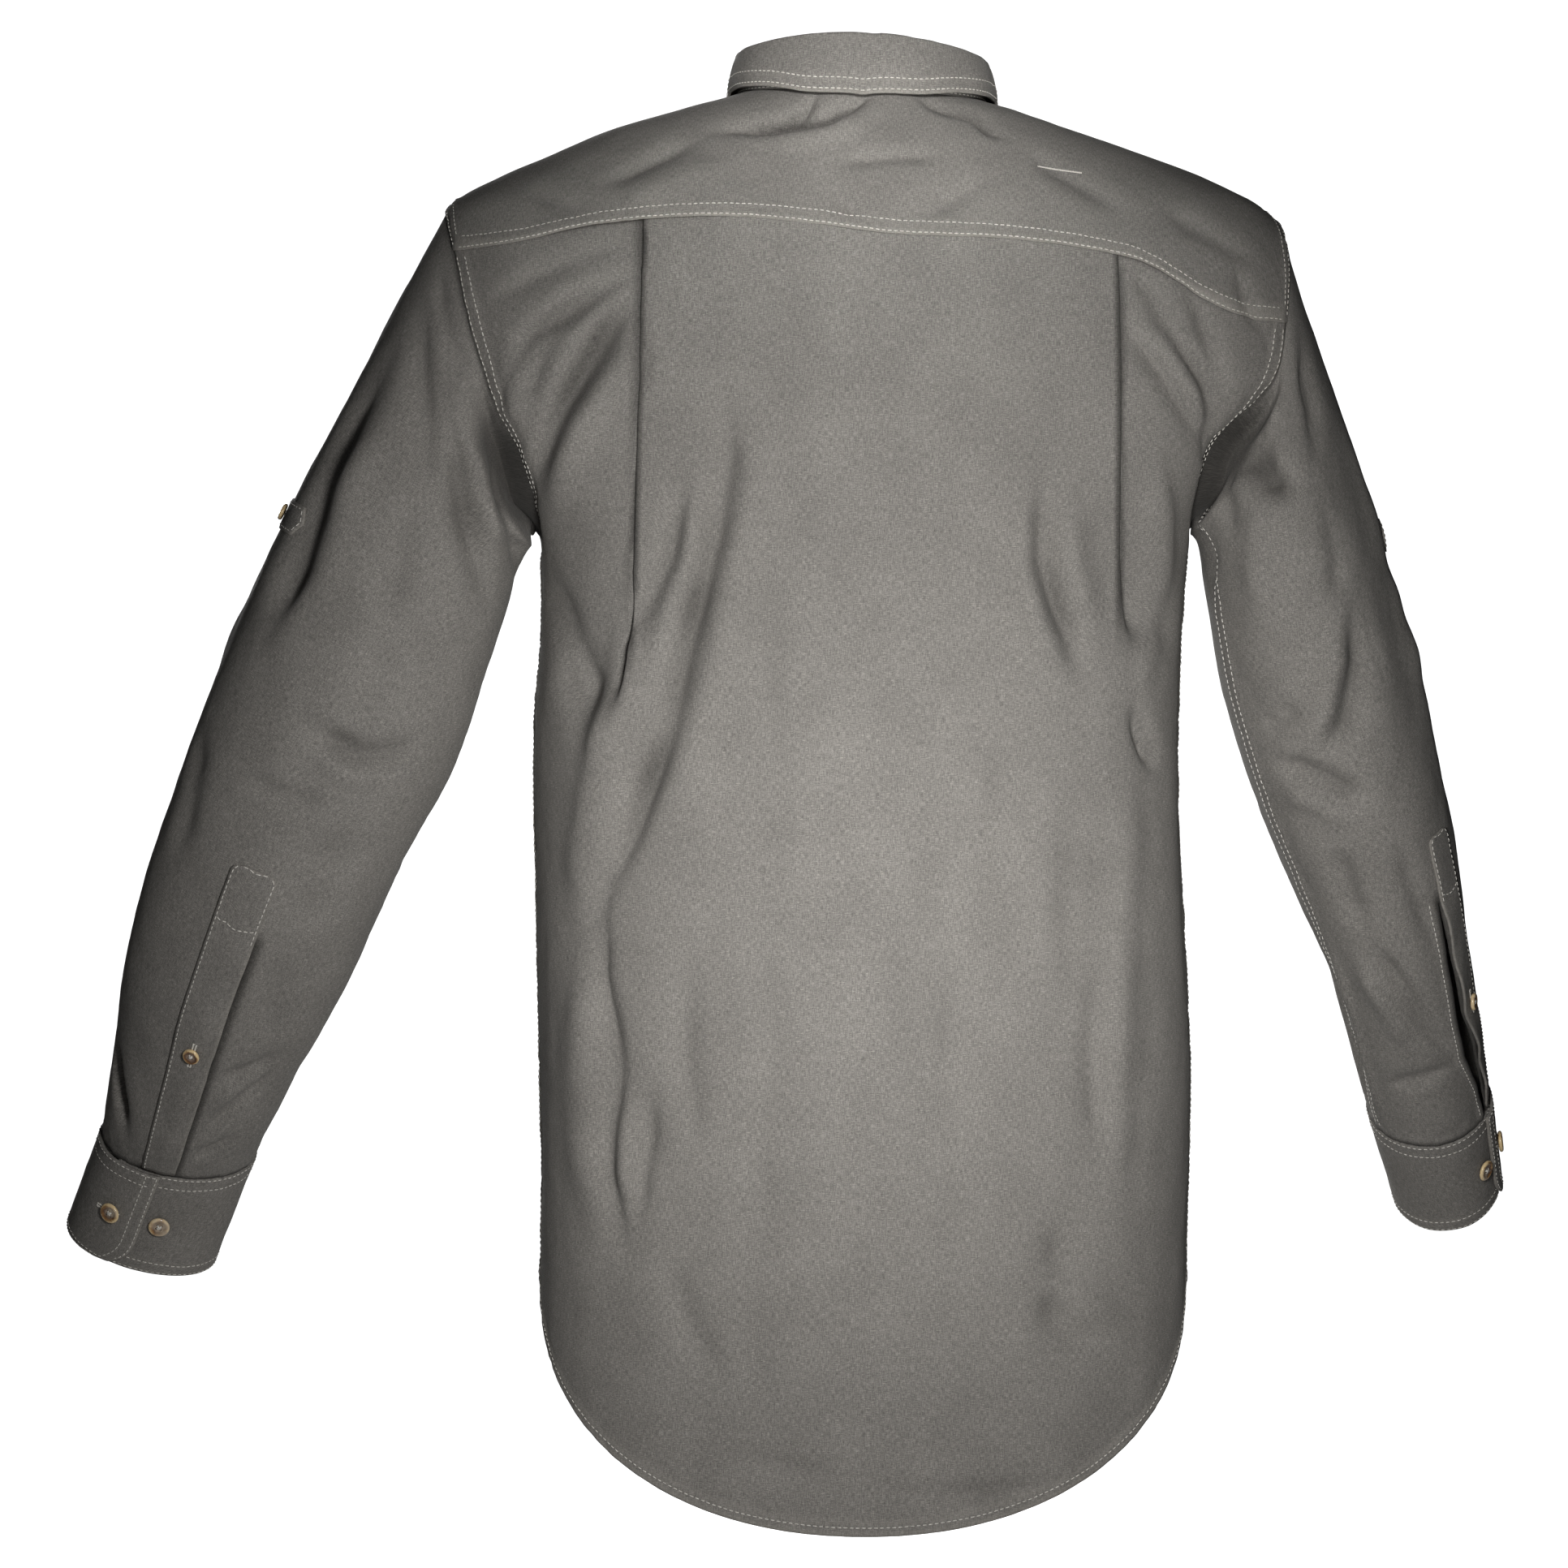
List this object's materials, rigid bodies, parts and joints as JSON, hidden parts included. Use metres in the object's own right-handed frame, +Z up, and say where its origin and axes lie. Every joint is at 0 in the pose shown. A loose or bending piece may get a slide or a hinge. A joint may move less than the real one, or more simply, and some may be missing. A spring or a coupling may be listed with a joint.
{
  "type": "safari shirt",
  "caption": "Long-sleeved button-up shirt with a back yoke, knife pleats, turned-down collar, lapped cuffs and stitched sleeve tabs, hollow and filled out as worn.",
  "frame": {"origin": "middle of the neck base, level with the shoulders at the neck, where the wearer holds the shirt up", "axes": "+Z up along the wearer, -Y out of the buttoned front, +X towards the wearer's left sleeve"},
  "size_m": [0.8569, 0.2938, 0.846],
  "materials": {
    "cloth": "matt plain-woven cotton",
    "button": "polished, mottled brown and cream"
  },
  "bodies": {
    "root": {"back": "cloth", "yoke": "cloth", "front_left": "cloth", "front_right": "cloth", "front_placket": "cloth", "collar_stand": "cloth", "collar_leaf": "cloth", "sleeve_left": "cloth", "sleeve_right": "cloth", "sleeve_placket_left": "cloth", "sleeve_placket_right": "cloth", "sleeve_tab_left": "cloth", "sleeve_tab_right": "cloth", "cuff_left": "cloth", "cuff_right": "cloth", "button_front_1": "button", "button_front_2": "button", "button_front_3": "button", "button_front_4": "button", "button_front_5": "button", "button_front_6": "button", "button_collar": "button", "button_placket_left": "button", "button_placket_right": "button", "button_tab_left": "button", "button_tab_right": "button", "button_cuff_left_1": "button", "button_cuff_left_2": "button", "button_cuff_right_1": "button", "button_cuff_right_2": "button"}
  },
  "joints": []
}
